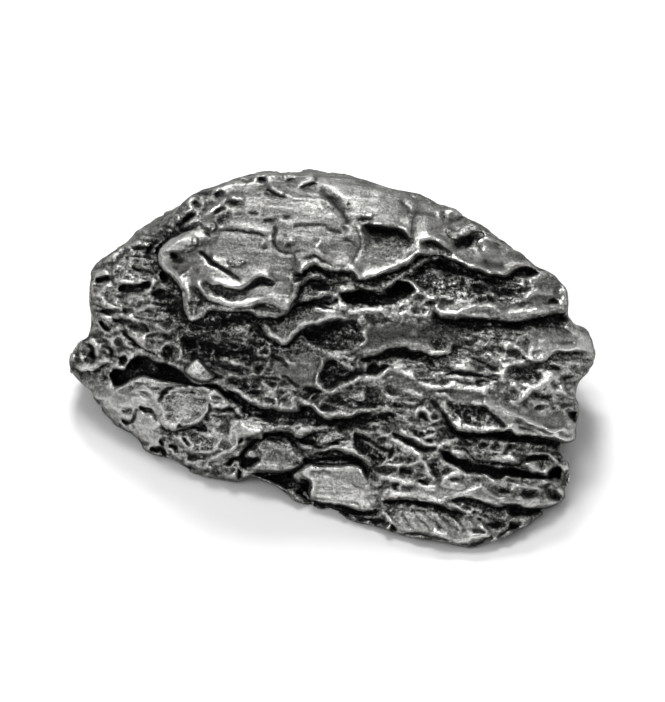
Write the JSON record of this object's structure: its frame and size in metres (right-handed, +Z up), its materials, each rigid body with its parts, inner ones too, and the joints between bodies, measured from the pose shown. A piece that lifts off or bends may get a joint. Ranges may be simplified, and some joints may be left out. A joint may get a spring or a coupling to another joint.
{
  "type": "iron meteorite",
  "caption": "Palm-sized lump of iron meteorite with a smooth top plate, folded dark ledges and pits down its front, and a flat face that it rests on.",
  "frame": {"origin": "on the flat rest face, under the middle of the lump", "axes": "+X along the lump's length, +Y from the folded front slope towards the steep back, +Z up from the rest face"},
  "size_m": [0.1098, 0.0801, 0.0472],
  "materials": {
    "iron": "bare nickel-iron: satin grey with fine streaks on the top plate, rubbed bright along the ledges, rough and nearly black in the folds and pits"
  },
  "bodies": {
    "root": {"meteorite": "iron"}
  },
  "joints": []
}
